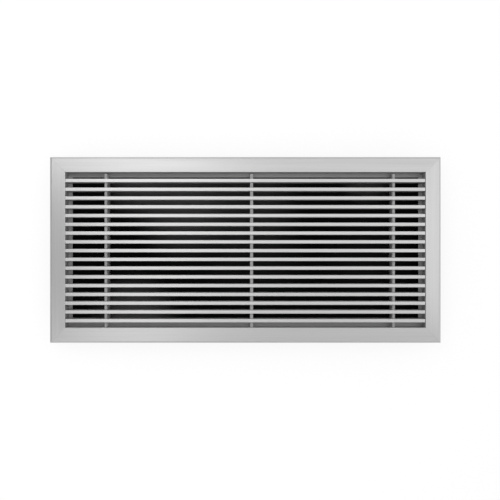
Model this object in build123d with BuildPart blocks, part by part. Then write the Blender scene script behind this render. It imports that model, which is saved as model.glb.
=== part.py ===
from build123d import *
from math import cos, floor, radians, sin
import os

os.makedirs("parts", exist_ok=True)

# Linear bar floor grille, in millimetres. A mitred aluminium frame hangs in a floor opening by
# its flange, and a drop-in core of straight bars lies on a ledge inside it.
# X runs along the bars, Y across them and Z up out of the floor. The origin is on the lower rim
# of the neck, under the middle of the face.

# Frame: the clear opening, and the section that all four rails share.
opening_length = 514
opening_width = 222
flange_width = 21.4
flange_thickness = 2.5
flange_bevel_width = 2.4
flange_bevel_drop = 0.8
flange_inner_radius = 0.4
neck_depth = 40
neck_wall = 2
ledge_reach = 5.8
ledge_thickness = 2
root_radius = 0.8

# Corner keys, and the lipped channel outside the neck that holds them.
key_leg = 32
key_thickness = 2.5
key_height = 18
key_rise = 10
key_clearance = 0.2
key_bend_radius = 1.5
lip_reach = 3
lip_thickness = 1.2

# Core: straight bars, flush with the flange.
bar_thickness = 4.8
bar_depth = 20
bar_pitch = 12.5
bar_edge_radius = 0.5
edge_gap_least = 6

# Core: deep flat cross bars, half lapped under the bars and shouldered on the ledge.
outer_cross_thickness = 3.6
middle_cross_thickness = 4.4
cross_recess = 5
cross_hang = 10
cross_edge_radius = 0.3
cross_inset_left = 56.7
cross_inset_right = 43.9
cross_middle_offset = 9.1
lap_rise = 10
lap_clearance = 0.1
shoulder_clearance = 1.5

# The play of the loose core in the neck, as it lies: pushed to the left and to the front.
core_gap_left = 0.3
core_gap_right = 0.8
core_gap_front = 0.3
core_gap_back = 2.3

# Levels that follow.
face_z = neck_depth
flange_under_z = face_z - flange_thickness
ledge_z = face_z - bar_depth
cross_top_z = face_z - cross_recess
cross_under_z = ledge_z - cross_hang
lap_z = ledge_z + lap_rise

# Plan of the core.
core_left = core_gap_left - opening_length / 2
core_right = opening_length / 2 - core_gap_right
core_front = core_gap_front - opening_width / 2
core_back = opening_width / 2 - core_gap_back
core_middle_x = (core_left + core_right) / 2
core_middle_y = (core_front + core_back) / 2
core_length = core_right - core_left
core_width = core_back - core_front

# Places of the bars, counted from the front, and each cross bar's place and thickness.
bar_count = floor((opening_width - 2 * edge_gap_least - bar_thickness) / bar_pitch) + 1
first_bar_y = core_middle_y - (bar_count - 1) * bar_pitch / 2
bar_places = [first_bar_y + number * bar_pitch for number in range(bar_count)]
cross_bars = {
    "left": (core_left + cross_inset_left, outer_cross_thickness),
    "middle": (core_middle_x + cross_middle_offset, middle_cross_thickness),
    "right": (core_right - cross_inset_right, outer_cross_thickness),
}

low_corner = (Align.MIN, Align.MIN)


def frame_rail(name, turn, inner_reach, half_run):
    """One rail of the frame, mitred at both ends.

    turn is the rail's outward direction in degrees about Z, inner_reach the distance from the
    centre to the neck's inner face, and half_run half the neck's inner length along the rail.
    """
    outward = Vector(cos(radians(turn)), sin(radians(turn)), 0)
    along = Vector(sin(radians(turn)), -cos(radians(turn)), 0)
    channel_depth = key_thickness + key_clearance
    channel_height = key_height + key_clearance

    with BuildPart() as rail:
        section_plane = Plane(origin=outward * inner_reach, x_dir=outward, z_dir=along)
        with BuildSketch(section_plane) as section:
            # The neck wall, the flange over the floor and the ledge under the core.
            Rectangle(neck_wall, neck_depth, align=low_corner)
            with Locations((0, flange_under_z)):
                Rectangle(flange_width, flange_thickness, align=low_corner)
            with Locations((-ledge_reach, ledge_z - ledge_thickness)):
                Rectangle(ledge_reach, ledge_thickness, align=low_corner)
            # The channel's two ribs, each with a lip turned towards the other.
            with Locations((0, key_rise - lip_thickness), (0, key_rise + channel_height)):
                Rectangle(neck_wall + channel_depth + lip_thickness, lip_thickness, align=low_corner)
            with Locations(
                (neck_wall + channel_depth, key_rise),
                (neck_wall + channel_depth, key_rise + channel_height - lip_reach),
            ):
                Rectangle(lip_thickness, lip_reach, align=low_corner)
            # The face is eased at the opening and falls away at its outer edge.
            inner_corner = section.vertices().sort_by_distance((0, face_z)).first
            fillet(inner_corner, radius=flange_inner_radius)
            chamfer(
                section.vertices().sort_by_distance((flange_width, face_z)).first,
                length=flange_bevel_drop,
                length2=flange_bevel_width,
                reference=section.edges().filter_by(Axis.Y).sort_by(Axis.X).last,
            )
            # The root where the flange meets the neck.
            root_corner = section.vertices().sort_by_distance((neck_wall, flange_under_z)).first
            fillet(root_corner, radius=root_radius)
        extrude(amount=half_run + flange_width, both=True)
        for end in (along, -along):
            corner = outward * inner_reach + end * half_run
            split(bisect_by=Plane(origin=corner, z_dir=end - outward), keep=Keep.BOTTOM)

    rail.part.label = name
    export_step(rail.part, f"parts/{name}.step")


def corner_key(name, side_x, side_y):
    """The L-shaped key that joins two rails; side_x and side_y say which corner."""
    reach_x = opening_length / 2 + neck_wall + key_thickness
    reach_y = opening_width / 2 + neck_wall + key_thickness
    into_frame = (
        Align.MAX if side_x > 0 else Align.MIN,
        Align.MAX if side_y > 0 else Align.MIN,
    )

    with BuildPart() as key:
        with BuildSketch(Plane.XY.offset(key_rise)):
            with Locations((side_x * reach_x, side_y * reach_y)):
                Rectangle(key_leg, key_leg, align=into_frame)
            inner_corner = (side_x * (reach_x - key_thickness), side_y * (reach_y - key_thickness))
            with Locations(inner_corner):
                Rectangle(key_leg, key_leg, align=into_frame, mode=Mode.SUBTRACT)
        extrude(amount=key_height)
        bend = (side_x * reach_x, side_y * reach_y, key_rise + key_height / 2)
        fillet(key.edges().filter_by(Axis.Z).sort_by_distance(bend).first, radius=key_bend_radius)

    key.part.label = name
    export_step(key.part, f"parts/{name}.step")


def grille_bar(name, place_y):
    """One bar of the core, notched from below where it crosses the cross bars."""
    with BuildPart() as bar:
        with BuildSketch(Plane.XZ.offset(-place_y)):
            with Locations((core_left, ledge_z)):
                Rectangle(core_length, bar_depth, align=low_corner)
            for place_x, thickness in cross_bars.values():
                with Locations((place_x, ledge_z)):
                    Rectangle(
                        thickness + 2 * lap_clearance,
                        lap_rise,
                        align=(Align.CENTER, Align.MIN),
                        mode=Mode.SUBTRACT,
                    )
        extrude(amount=bar_thickness / 2, both=True)
        fillet(bar.edges().filter_by(Axis.X).group_by(Axis.Z)[-1], radius=bar_edge_radius)

    bar.part.label = name
    export_step(bar.part, f"parts/{name}.step")


def cross_bar(name, place_x, thickness):
    """One cross bar, a comb that carries the bars in its notches.

    Its shoulders lie on the ledge, and between them it hangs below the ledge.
    """
    hang_front = ledge_reach + shoulder_clearance - opening_width / 2
    hang_back = opening_width / 2 - ledge_reach - shoulder_clearance

    with BuildPart() as comb:
        with BuildSketch(Plane.YZ.offset(place_x)):
            with Locations((core_front, ledge_z)):
                Rectangle(core_width, cross_top_z - ledge_z, align=low_corner)
            with Locations((hang_front, cross_under_z)):
                Rectangle(hang_back - hang_front, cross_top_z - cross_under_z, align=low_corner)
            with Locations(*[(place_y, lap_z) for place_y in bar_places]):
                Rectangle(
                    bar_thickness + 2 * lap_clearance,
                    cross_top_z - lap_z,
                    align=(Align.CENTER, Align.MIN),
                    mode=Mode.SUBTRACT,
                )
        extrude(amount=thickness / 2, both=True)
        fillet(comb.edges().filter_by(Axis.Y).group_by(Axis.Z)[-1], radius=cross_edge_radius)

    comb.part.label = name
    export_step(comb.part, f"parts/{name}.step")


frame_rail("frame_rail_right", 0, opening_length / 2, opening_width / 2)
frame_rail("frame_rail_back", 90, opening_width / 2, opening_length / 2)
frame_rail("frame_rail_left", 180, opening_length / 2, opening_width / 2)
frame_rail("frame_rail_front", 270, opening_width / 2, opening_length / 2)

corner_key("corner_key_back_right", 1, 1)
corner_key("corner_key_back_left", -1, 1)
corner_key("corner_key_front_left", -1, -1)
corner_key("corner_key_front_right", 1, -1)

for number, place_y in enumerate(bar_places, start=1):
    grille_bar(f"bar_{number:02d}", place_y)

for side, (place_x, thickness) in cross_bars.items():
    cross_bar(f"cross_bar_{side}", place_x, thickness)
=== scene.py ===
import math

import bmesh
import bpy
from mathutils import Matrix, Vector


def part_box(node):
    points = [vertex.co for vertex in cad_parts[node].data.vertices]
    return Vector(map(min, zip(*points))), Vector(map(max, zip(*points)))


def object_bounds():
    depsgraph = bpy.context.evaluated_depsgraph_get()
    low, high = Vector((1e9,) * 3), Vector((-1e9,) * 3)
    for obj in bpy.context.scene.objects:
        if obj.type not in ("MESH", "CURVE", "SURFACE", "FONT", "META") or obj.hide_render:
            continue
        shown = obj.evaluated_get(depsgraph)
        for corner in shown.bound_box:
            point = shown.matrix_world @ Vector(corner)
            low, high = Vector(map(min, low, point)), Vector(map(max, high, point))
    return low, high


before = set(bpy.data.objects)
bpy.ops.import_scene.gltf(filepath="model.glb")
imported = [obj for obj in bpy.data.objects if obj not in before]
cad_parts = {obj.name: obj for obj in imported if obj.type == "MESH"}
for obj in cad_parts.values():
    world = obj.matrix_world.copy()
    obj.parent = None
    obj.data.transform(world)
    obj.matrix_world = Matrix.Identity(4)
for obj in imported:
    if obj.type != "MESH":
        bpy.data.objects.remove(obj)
cadLow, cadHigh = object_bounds()
print("frame loaded:", len(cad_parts), "nodes")

mm = 0.001  # everything in the scene is in metres


# colours are written as sRGB hex and turned linear here
def linear(hexColour):
    channels = [int(hexColour[i:i + 2], 16) / 255 for i in (1, 3, 5)]
    return [c / 12.92 if c <= 0.04045 else ((c + 0.055) / 1.055) ** 2.4 for c in channels] + [1.0]


# adds one node: settings are its own options, inputs are values or sockets to link from
def addNode(tree, kind, inputs=None, **settings):
    node = tree.nodes.new(kind)
    for name, value in settings.items():
        setattr(node, name, value)
    for socket, value in (inputs or {}).items():
        if isinstance(value, bpy.types.NodeSocket):
            tree.links.new(value, node.inputs[socket])
        else:
            node.inputs[socket].default_value = value
    return node


def newMaterial(name):
    material = bpy.data.materials.new(name)
    material.use_nodes = True
    material.node_tree.nodes.clear()
    return material, material.node_tree


def flatSheet(name, low, high, height):
    mesh = bpy.data.meshes.new(name)
    sheet = bmesh.new()
    corners = [(low[0], low[1]), (high[0], low[1]), (high[0], high[1]), (low[0], high[1])]
    sheet.faces.new([sheet.verts.new((x, y, height)) for x, y in corners])
    sheet.to_mesh(mesh)
    sheet.free()
    piece = bpy.data.objects.new(name, mesh)
    bpy.context.scene.collection.objects.link(piece)
    return piece


# camera: looks straight down on the face, as the photo does
shot = {
    "mmPerPixel": 1.4253,  # bar pitch: 12.5 mm over 8.77 px
    "middlePx": (245.4, 249.9),  # the face's middle in the 500 px frame
    "framePx": 500,
    "distance": 1044 * mm,  # from how much of the ledge shows past the opening's edge
    "sensor": 36,  # millimetres, as Blender's camera has it
}


def placeCamera():
    data = bpy.data.cameras.new("camera")
    camera = bpy.data.objects.new("camera", data)
    bpy.context.scene.collection.objects.link(camera)
    halfFrame = shot["framePx"] / 2
    perPixel = shot["mmPerPixel"] * mm
    camera.location = (
        (halfFrame - shot["middlePx"][0]) * perPixel,
        (shot["middlePx"][1] - halfFrame) * perPixel,
        cadHigh.z + shot["distance"],
    )
    data.sensor_width = shot["sensor"]
    data.lens = shot["sensor"] * shot["distance"] / (shot["framePx"] * perPixel)
    bpy.context.scene.camera = camera


placeCamera()
print("camera placed")


# noise with its own length and width, along the grain and across it
def grainNoise(tree, place, grain, pattern):
    scales = [1 / pattern["length"] if axis == grain else 1 / pattern["width"] for axis in range(3)]
    scaled = addNode(tree, "ShaderNodeVectorMath", {0: place, 1: scales}, operation="MULTIPLY").outputs[0]
    inputs = {"Vector": scaled, "Scale": 1.0, "Detail": pattern["detail"]}
    return addNode(tree, "ShaderNodeTexNoise", inputs).outputs["Fac"]


# an arris is where the rounded normal turns away from the flat one, given as the turn's cosine
arris = {"samples": 6, "startCosine": 0.995, "fullCosine": 0.8}


def arrisMask(tree, width):
    rounded = addNode(tree, "ShaderNodeBevel", {"Radius": width}, samples=arris["samples"]).outputs[0]
    flat = addNode(tree, "ShaderNodeNewGeometry").outputs["Normal"]
    turned = addNode(tree, "ShaderNodeVectorMath", {0: rounded, 1: flat}, operation="DOT_PRODUCT")
    return addNode(
        tree,
        "ShaderNodeMapRange",
        {"Value": turned.outputs["Value"], "From Min": arris["startCosine"], "From Max": arris["fullCosine"]},
        interpolation_type="SMOOTHSTEP",
    ).outputs[0]


# anodised aluminium extrusion, its face ground to a satin before anodising: a soft sheen with faint lines
# along each length, while the sides keep the duller skin that the press left, also painted darker as shade
satinAluminium = {
    "railColour": "#C6C6C6",
    "barColour": "#CCCCCC",
    "lineColour": "#AAAAAA",  # darker grinding lines and bands
    "longSkinColour": "#B8B8B8",  # as extruded, below the face; also darker as painted shade in the recesses
    "shadedShortSkinColour": "#A9A9A9",  # painted shade: the short rails' sides are drawn a little darker than the long ones
    "dieLineColour": "#868686",  # fine scores that the die leaves along the skin
    "edgeColour": "#E1E1E1",  # the arrises drawn lighter: thin anodising and wear, and a painted highlight
    "seamColour": "#A0A0A0",  # hairline at the mitres
    "roughness": 0.36,
    "roughnessSpread": 0.06,
    "roughnessRange": (0.25, 0.85),  # a range is the stretch of noise over which a change comes in
    "skinRoughness": 0.6,
    "stretch": 0.6,  # ground metal smears reflections across its lines
    "lengthwiseLean": 0.02,  # keeps the smear's direction defined on the faces square to the length
    "lines": {
        "width": 1.6 * mm,  # real ones are about 0.1 mm; drawn coarser so that they show
        "length": 160 * mm,
        "detail": 3.0,
        "range": (0.35, 0.95),
        "share": 0.3,  # the most that it takes on of the darker colour
    },
    "bands": {  # slow changes of tone along the extrusion
        "width": 9 * mm,
        "length": 420 * mm,
        "detail": 1.5,
        "range": (0.3, 0.9),
        "share": 0.26,
    },
    "lineDepth": 0.004 * mm,
    "edgeWidth": 0.45 * mm,
    "wearAndHighlightRange": (0.2, 0.8),
    "wearAndHighlightShare": (0.25, 0.7),  # least and most along an arris
    "seamWidth": 0.2 * mm,
    "seamCore": 0.3,  # share of that width at full strength
    "railFaceDepth": 1.6 * mm,  # how far down the grinding reaches
    "barFaceDepth": 0.6 * mm,
    "skinStart": 1.3,  # in face depths: from here down it is all skin
}

# the mitres run in from the corners at 45 degrees: along them x less y, signs left off, keeps this value
mitreOffset = (cadHigh.x - cadLow.x - cadHigh.y + cadLow.y) / 2


# the hairline where two rails meet, found from the mitre's own plane
def mitreMask(tree, place):
    width = satinAluminium["seamWidth"]
    parts = addNode(tree, "ShaderNodeSeparateXYZ", {0: place})
    alongX, alongY = [
        addNode(tree, "ShaderNodeMath", {0: parts.outputs[axis]}, operation="ABSOLUTE").outputs[0]
        for axis in (0, 1)
    ]
    gap = addNode(tree, "ShaderNodeMath", {0: alongX, 1: alongY}, operation="SUBTRACT").outputs[0]
    off = addNode(tree, "ShaderNodeMath", {0: gap, 1: mitreOffset}, operation="SUBTRACT").outputs[0]
    far = addNode(tree, "ShaderNodeMath", {0: off}, operation="ABSOLUTE").outputs[0]
    return addNode(
        tree,
        "ShaderNodeMapRange",
        {"Value": far, "From Min": width, "From Max": width * satinAluminium["seamCore"]},
        interpolation_type="SMOOTHSTEP",
    ).outputs[0]


def makeSatinAluminium(name, colour, skinColour, faceDepth, grain, mitred=False):
    finish = satinAluminium
    material, tree = newMaterial(name)
    place = addNode(tree, "ShaderNodeTexCoord").outputs["Object"]
    height = addNode(tree, "ShaderNodeSeparateXYZ", {0: place}).outputs[2]
    faceEnd, skinStart = [cadHigh.z - faceDepth * depths for depths in (1, finish["skinStart"])]
    ground = addNode(  # 1 on the ground face, 0 on the skin below it
        tree,
        "ShaderNodeMapRange",
        {"Value": height, "From Min": skinStart, "From Max": faceEnd},
        interpolation_type="SMOOTHSTEP",
    ).outputs[0]

    lines = grainNoise(tree, place, grain, finish["lines"])
    bands = grainNoise(tree, place, grain, finish["bands"])
    shares = []
    for noise, pattern in ((lines, finish["lines"]), (bands, finish["bands"])):
        low, high = pattern["range"]
        inputs = {"Value": noise, "From Min": low, "From Max": high, "To Max": pattern["share"]}
        shares.append(addNode(tree, "ShaderNodeMapRange", inputs).outputs[0])
    lineShare, bandShare = shares

    face, dark = linear(colour), linear(finish["lineColour"])
    for share in (lineShare, bandShare):
        face = addNode(tree, "ShaderNodeMix", {0: share, 6: face, 7: dark}, data_type="RGBA").outputs[2]
    # skin darker than the face: the press's finish, and painted shade on ledges, walls and bar sides
    skin, scores = linear(skinColour), linear(finish["dieLineColour"])
    skin = addNode(tree, "ShaderNodeMix", {0: bandShare, 6: skin, 7: face}, data_type="RGBA").outputs[2]
    skin = addNode(tree, "ShaderNodeMix", {0: lineShare, 6: skin, 7: scores}, data_type="RGBA").outputs[2]
    body = addNode(tree, "ShaderNodeMix", {0: ground, 6: skin, 7: face}, data_type="RGBA").outputs[2]

    low, high = finish["wearAndHighlightRange"]
    least, most = finish["wearAndHighlightShare"]
    patchy = addNode(  # the lighter arris, wear and painted highlight, comes and goes along it
        tree,
        "ShaderNodeMapRange",
        {"Value": lines, "From Min": low, "From Max": high, "To Min": least, "To Max": most},
        interpolation_type="SMOOTHSTEP",
    ).outputs[0]
    # arrises drawn lighter: wear, and a painted highlight
    near, edge = arrisMask(tree, finish["edgeWidth"]), linear(finish["edgeColour"])
    wearAndHighlight = addNode(tree, "ShaderNodeMath", {0: near, 1: patchy}, operation="MULTIPLY").outputs[0]
    body = addNode(tree, "ShaderNodeMix", {0: wearAndHighlight, 6: body, 7: edge}, data_type="RGBA").outputs[2]
    if mitred:
        seam, hairline = mitreMask(tree, place), linear(finish["seamColour"])
        body = addNode(tree, "ShaderNodeMix", {0: seam, 6: body, 7: hairline}, data_type="RGBA").outputs[2]

    low, high = finish["roughnessRange"]
    faceRough = addNode(
        tree,
        "ShaderNodeMapRange",
        {
            "Value": lines,
            "From Min": low,
            "From Max": high,
            "To Min": finish["roughness"] - finish["roughnessSpread"] / 2,
            "To Max": finish["roughness"] + finish["roughnessSpread"] / 2,
        },
    ).outputs[0]
    rough = addNode(
        tree, "ShaderNodeMix", {0: ground, 2: finish["skinRoughness"], 3: faceRough}, data_type="FLOAT"
    ).outputs[0]
    inputs = {"Height": lines, "Distance": finish["lineDepth"], "Strength": 1.0}
    bump = addNode(tree, "ShaderNodeBump", inputs)
    # reflections smear across the lines: the tangent is square to both the surface and the length
    lengthwise = [1.0 if axis == grain else finish["lengthwiseLean"] for axis in range(3)]
    normal = addNode(tree, "ShaderNodeNewGeometry").outputs["Normal"]
    across = addNode(tree, "ShaderNodeVectorMath", {0: normal, 1: lengthwise}, operation="CROSS_PRODUCT")
    shader = addNode(
        tree,
        "ShaderNodeBsdfPrincipled",
        {
            "Base Color": body,
            "Metallic": 1.0,
            "Roughness": rough,
            "Anisotropic": finish["stretch"],
            "Normal": bump.outputs[0],
            "Tangent": across.outputs[0],
        },
    )
    addNode(tree, "ShaderNodeOutputMaterial", {"Surface": shader.outputs[0]})
    return material


# mill finish aluminium flat bar: its dull oxide scatters light, so it has less of a sheen than the rest, and
# its sides are painted lighter than its top: painted light on the sides
millAluminium = {
    "colour": "#ACACAC",
    "patchColour": "#9A9A9A",
    "paintedLightSideColour": "#D6D6D6",
    "edgeColour": "#CACACA",
    "metal": 0.25,  # the rest is diffuse oxide
    "roughness": 0.55,
    "roughnessSpread": 0.1,
    "patches": {"width": 7 * mm, "length": 7 * mm, "detail": 3.0, "range": (0.3, 0.75)},
    "sidePatchShare": 0.3,  # the sides are less patchy than the top
    "patchDepth": 0.02 * mm,
    "patchBump": 0.6,
    "topDepth": 0.4 * mm,  # how far down from its top a cross bar keeps the darker top colour
    "sideStart": 1.5,  # in those depths: from here down it is all side
    "edgeWidth": 0.35 * mm,
    "edgeWearAndHighlight": 0.5,
}


def makeMillAluminium(topLevel):
    finish = millAluminium
    material, tree = newMaterial("mill finish aluminium")
    place = addNode(tree, "ShaderNodeTexCoord").outputs["Object"]
    patches = grainNoise(tree, place, 1, finish["patches"])
    low, high = finish["patches"]["range"]
    share = addNode(
        tree,
        "ShaderNodeMapRange",
        {"Value": patches, "From Min": low, "From Max": high},
        interpolation_type="SMOOTHSTEP",
    ).outputs[0]
    sideShare = addNode(
        tree, "ShaderNodeMath", {0: share, 1: finish["sidePatchShare"]}, operation="MULTIPLY"
    ).outputs[0]
    top, side, dull = [linear(finish[name]) for name in ("colour", "paintedLightSideColour", "patchColour")]
    top = addNode(tree, "ShaderNodeMix", {0: share, 6: top, 7: dull}, data_type="RGBA").outputs[2]
    side = addNode(tree, "ShaderNodeMix", {0: sideShare, 6: side, 7: dull}, data_type="RGBA").outputs[2]
    height = addNode(tree, "ShaderNodeSeparateXYZ", {0: place}).outputs[2]
    topEnd, sideStart = [topLevel - finish["topDepth"] * depths for depths in (1, finish["sideStart"])]
    inputs = {"Value": height, "From Min": sideStart, "From Max": topEnd}
    onTop = addNode(tree, "ShaderNodeMapRange", inputs).outputs[0]
    # painted light: the sides take the lighter side colour, the top the darker one
    body = addNode(tree, "ShaderNodeMix", {0: onTop, 6: side, 7: top}, data_type="RGBA").outputs[2]
    # arrises drawn lighter: wear, and a painted highlight
    near, edge = arrisMask(tree, finish["edgeWidth"]), linear(finish["edgeColour"])
    wearAndHighlight = addNode(tree, "ShaderNodeMath", {0: near, 1: finish["edgeWearAndHighlight"]}, operation="MULTIPLY").outputs[0]
    body = addNode(tree, "ShaderNodeMix", {0: wearAndHighlight, 6: body, 7: edge}, data_type="RGBA").outputs[2]
    rough = addNode(
        tree,
        "ShaderNodeMapRange",
        {
            "Value": patches,
            "From Min": low,
            "From Max": high,
            "To Min": finish["roughness"] - finish["roughnessSpread"] / 2,
            "To Max": finish["roughness"] + finish["roughnessSpread"] / 2,
        },
    ).outputs[0]
    bump = addNode(
        tree,
        "ShaderNodeBump",
        {"Height": patches, "Distance": finish["patchDepth"], "Strength": finish["patchBump"]},
    )
    shader = addNode(
        tree,
        "ShaderNodeBsdfPrincipled",
        {"Base Color": body, "Metallic": finish["metal"], "Roughness": rough, "Normal": bump.outputs[0]},
    )
    addNode(tree, "ShaderNodeOutputMaterial", {"Surface": shader.outputs[0]})
    return material


# zinc-plated pressed steel: cool grey with a fine crystalline mottle
zincSteel = {
    "colour": "#B2B5B7",
    "spangleColour": "#A3A6A9",
    "edgeColour": "#CFD1D2",
    "roughness": 0.42,
    "roughnessSpread": 0.12,
    "spangleSize": 1.4 * mm,
    "spangleDepth": 0.01 * mm,
    "spangleBump": 0.5,
    "edgeWidth": 0.4 * mm,
    "edgeWearAndHighlight": 0.5,
}


def makeZincSteel():
    finish = zincSteel
    material, tree = newMaterial("zinc plated steel")
    place = addNode(tree, "ShaderNodeTexCoord").outputs["Object"]
    scales = [1 / finish["spangleSize"]] * 3
    scaled = addNode(tree, "ShaderNodeVectorMath", {0: place, 1: scales}, operation="MULTIPLY").outputs[0]
    spangle = addNode(tree, "ShaderNodeTexVoronoi", {"Vector": scaled, "Scale": 1.0})
    shade = addNode(tree, "ShaderNodeSeparateColor", {0: spangle.outputs["Color"]}).outputs[0]
    pale, deep = linear(finish["colour"]), linear(finish["spangleColour"])
    body = addNode(tree, "ShaderNodeMix", {0: shade, 6: pale, 7: deep}, data_type="RGBA").outputs[2]
    # arrises drawn lighter: wear, and a painted highlight
    near, edge = arrisMask(tree, finish["edgeWidth"]), linear(finish["edgeColour"])
    wearAndHighlight = addNode(tree, "ShaderNodeMath", {0: near, 1: finish["edgeWearAndHighlight"]}, operation="MULTIPLY").outputs[0]
    body = addNode(tree, "ShaderNodeMix", {0: wearAndHighlight, 6: body, 7: edge}, data_type="RGBA").outputs[2]
    rough = addNode(
        tree,
        "ShaderNodeMapRange",
        {
            "Value": shade,
            "To Min": finish["roughness"] - finish["roughnessSpread"] / 2,
            "To Max": finish["roughness"] + finish["roughnessSpread"] / 2,
        },
    ).outputs[0]
    bump = addNode(
        tree,
        "ShaderNodeBump",
        {"Height": shade, "Distance": finish["spangleDepth"], "Strength": finish["spangleBump"]},
    )
    shader = addNode(
        tree,
        "ShaderNodeBsdfPrincipled",
        {"Base Color": body, "Metallic": 1.0, "Roughness": rough, "Normal": bump.outputs[0]},
    )
    addNode(tree, "ShaderNodeOutputMaterial", {"Surface": shader.outputs[0]})
    return material


def makeFinishes():
    railColour, barColour = satinAluminium["railColour"], satinAluminium["barColour"]
    longSkin, shadedShortSkin = satinAluminium["longSkinColour"], satinAluminium["shadedShortSkinColour"]
    railDepth, barDepth = satinAluminium["railFaceDepth"], satinAluminium["barFaceDepth"]
    longRail = makeSatinAluminium(
        "satin aluminium rail, long", railColour, longSkin, railDepth, grain=0, mitred=True
    )
    # the short rails take the darker skin: painted shade
    shortRail = makeSatinAluminium(
        "satin aluminium rail, short", railColour, shadedShortSkin, railDepth, grain=1, mitred=True
    )
    return {  # by the start of a node's name
        "frame_rail_front": longRail,
        "frame_rail_back": longRail,
        "frame_rail_left": shortRail,
        "frame_rail_right": shortRail,
        "bar_": makeSatinAluminium("satin aluminium bar", barColour, longSkin, barDepth, grain=0),
        "cross_bar_": makeMillAluminium(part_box("cross_bar_left")[1].z),
        "corner_key_": makeZincSteel(),
    }


finishes = makeFinishes()
for nodeName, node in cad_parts.items():
    for start, finish in finishes.items():
        if nodeName.startswith(start):
            for slot in node.material_slots:
                slot.material = finish
print("finishes on", len(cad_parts), "nodes")


# 1 where a thing is seen, straight, mirrored or through glass, and 0 for the light that it gives the rest
def seenRays(tree):
    rays = addNode(tree, "ShaderNodeLightPath")
    seen = rays.outputs["Is Camera Ray"]
    for kind in ("Is Glossy Ray", "Is Transmission Ray"):
        inputs = {0: seen, 1: rays.outputs[kind]}
        seen = addNode(tree, "ShaderNodeMath", inputs, operation="MAXIMUM").outputs[0]
    return seen


# floor: white to the eye, with a faint shadow of the object that fades out into the white room
floorLook = {
    "reach": 4.0,
    "colour": "#F2F2F2",
    "white": 1.06,  # a little over 1 makes up for the share that the paint keeps
    "share": 0.78,  # of that white, near the object
    "fadeStart": 0.5,
    "fadeEnd": 1.3,
}


def makeFloor():
    reach = floorLook["reach"]
    floor = flatSheet("floor", (-reach, -reach), (reach, reach), cadLow.z)
    material, tree = newMaterial("white floor")
    paint = addNode(tree, "ShaderNodeBsdfDiffuse", {"Color": linear(floorLook["colour"])})
    place = addNode(tree, "ShaderNodeTexCoord").outputs["Object"]
    away = addNode(tree, "ShaderNodeVectorMath", {0: place}, operation="LENGTH")
    share = addNode(
        tree,
        "ShaderNodeMapRange",
        {
            "Value": away.outputs["Value"],
            "From Min": floorLook["fadeStart"],
            "From Max": floorLook["fadeEnd"],
            "To Min": floorLook["share"],
            "To Max": 1.0,
        },
        interpolation_type="SMOOTHSTEP",
    ).outputs[0]
    share = addNode(tree, "ShaderNodeMath", {0: seenRays(tree), 1: share}, operation="MULTIPLY").outputs[0]
    glow = addNode(tree, "ShaderNodeEmission", {"Strength": floorLook["white"]})
    both = addNode(tree, "ShaderNodeMixShader", {0: share, 1: paint.outputs[0], 2: glow.outputs[0]})
    addNode(tree, "ShaderNodeOutputMaterial", {"Surface": both.outputs[0]})
    floor.data.materials.append(material)


# painted shade of the duct under the core: a dark card inside the neck, just off the floor,
# with painted pools of light
ductLook = {
    "flange": 21.4 * mm,  # from the outer edge in to the neck
    "inset": 0.5 * mm,
    "lift": 0.6 * mm,
    "colour": "#1C1C1C",
    "paintedPoolLightColour": "#8A8A8A",
    "poolCore": 0.2,  # share of a pool's reach at full strength
    "pools": [  # middle, reach and strength of each
        ((-93 * mm, 54 * mm), 82 * mm, 0.52),
        ((-160 * mm, 92 * mm), 58 * mm, 0.42),
        ((2 * mm, 62 * mm), 92 * mm, 0.24),
        ((10 * mm, -5 * mm), 100 * mm, 0.09),
        ((182 * mm, -10 * mm), 80 * mm, 0.06),
        ((-165 * mm, -100 * mm), 75 * mm, 0.66),
        ((180 * mm, 104 * mm), 46 * mm, 0.3),
    ],
}


def makeDuctShade():
    margin = ductLook["flange"] + ductLook["inset"]
    low = [side + margin for side in cadLow[:2]]
    high = [side - margin for side in cadHigh[:2]]
    shade = flatSheet("duct_shade", low, high, cadLow.z + ductLook["lift"])
    material, tree = newMaterial("painted duct shade")
    place = addNode(tree, "ShaderNodeTexCoord").outputs["Object"]
    # painted shade, with painted pools of light mixed in
    colour, pale = linear(ductLook["colour"]), linear(ductLook["paintedPoolLightColour"])
    for middle, reach, strength in ductLook["pools"]:
        away = addNode(tree, "ShaderNodeVectorMath", {0: place, 1: (*middle, cadLow.z)}, operation="DISTANCE")
        pool = addNode(
            tree,
            "ShaderNodeMapRange",
            {
                "Value": away.outputs["Value"],
                "From Min": reach,
                "From Max": ductLook["poolCore"] * reach,
                "To Max": strength,
            },
            interpolation_type="SMOOTHSTEP",
        ).outputs[0]
        colour = addNode(tree, "ShaderNodeMix", {0: pool, 6: colour, 7: pale}, data_type="RGBA").outputs[2]
    paint = addNode(tree, "ShaderNodeBsdfDiffuse", {"Color": colour})
    addNode(tree, "ShaderNodeOutputMaterial", {"Surface": paint.outputs[0]})
    shade.data.materials.append(material)


makeFloor()
makeDuctShade()
print("floor and duct made")

# three soft boxes overhead, as for a product shot: the key at the back left, a broad one over the middle and
# right, and a weaker one at the front left. A whole ceiling of level 1 would light a white card white
softBoxes = {
    "height": 1.2,  # above the face
    "boxes": {  # middle, width and depth, level
        "key": ((-0.5, 0.55), (0.8, 0.6), 2.0),
        "overhead": ((0.15, 0.1), (1.3, 0.8), 1.2),
        "front_left": ((-0.6, -0.55), (0.8, 0.6), 1.2),
    },
}


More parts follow.
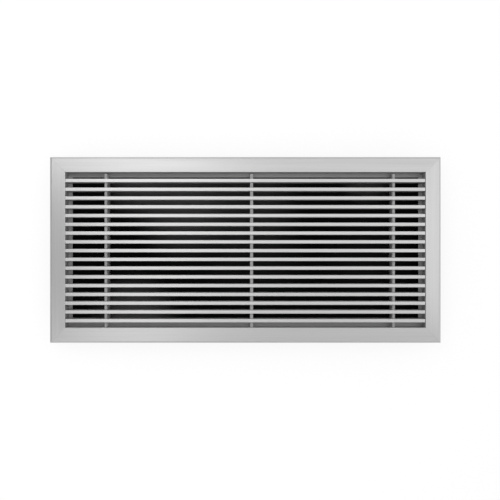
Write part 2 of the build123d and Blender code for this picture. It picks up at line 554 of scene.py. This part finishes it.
def makeSoftBoxes():
    for name, (middle, (width, depth), level) in softBoxes["boxes"].items():
        data = bpy.data.lights.new("soft_box_" + name, "AREA")
        data.shape = "RECTANGLE"
        data.size, data.size_y = width, depth
        data.energy = level * math.pi * width * depth
        lamp = bpy.data.objects.new(data.name, data)
        lamp.location = (*middle, cadHigh.z + softBoxes["height"])
        lamp.visible_camera = False
        bpy.context.scene.collection.objects.link(lamp)


# room: white walls where they are seen or mirrored, a softer fill for the rest, and above the boxes a dim
# ceiling that comes down lower on the left
roomLook = {
    "colour": "#FFFFFF",
    "fill": 0.9,
    "ceiling": 0.1,
    "wallTop": 0.7,  # a direction's upward part, where the wall starts to dim
    "ceilingStart": 0.93,  # and where the ceiling has its full dimness
    "leftDrop": 0.25,
}


def makeRoom():
    room = bpy.data.worlds.new("studio")
    room.use_nodes = True
    tree = room.node_tree
    tree.nodes.clear()
    inputs = {"Value": seenRays(tree), "To Min": roomLook["fill"], "To Max": 1.0}
    share = addNode(tree, "ShaderNodeMapRange", inputs).outputs[0]
    ways = addNode(tree, "ShaderNodeTexCoord").outputs["Generated"]
    upward = (-roomLook["leftDrop"], 0, 1)
    height = addNode(tree, "ShaderNodeVectorMath", {0: ways, 1: upward}, operation="DOT_PRODUCT")
    shade = addNode(
        tree,
        "ShaderNodeMapRange",
        {
            "Value": height.outputs["Value"],
            "From Min": roomLook["wallTop"],
            "From Max": roomLook["ceilingStart"],
            "To Min": 1.0,
            "To Max": roomLook["ceiling"],
        },
        interpolation_type="SMOOTHSTEP",
    ).outputs[0]
    strength = addNode(tree, "ShaderNodeMath", {0: share, 1: shade}, operation="MULTIPLY").outputs[0]
    sky = addNode(tree, "ShaderNodeBackground", {"Color": linear(roomLook["colour"]), "Strength": strength})
    addNode(tree, "ShaderNodeOutputWorld", {"Surface": sky.outputs[0]})
    bpy.context.scene.world = room


makeSoftBoxes()
makeRoom()
bpy.context.scene.view_settings.view_transform = "Standard"
print("lights made")
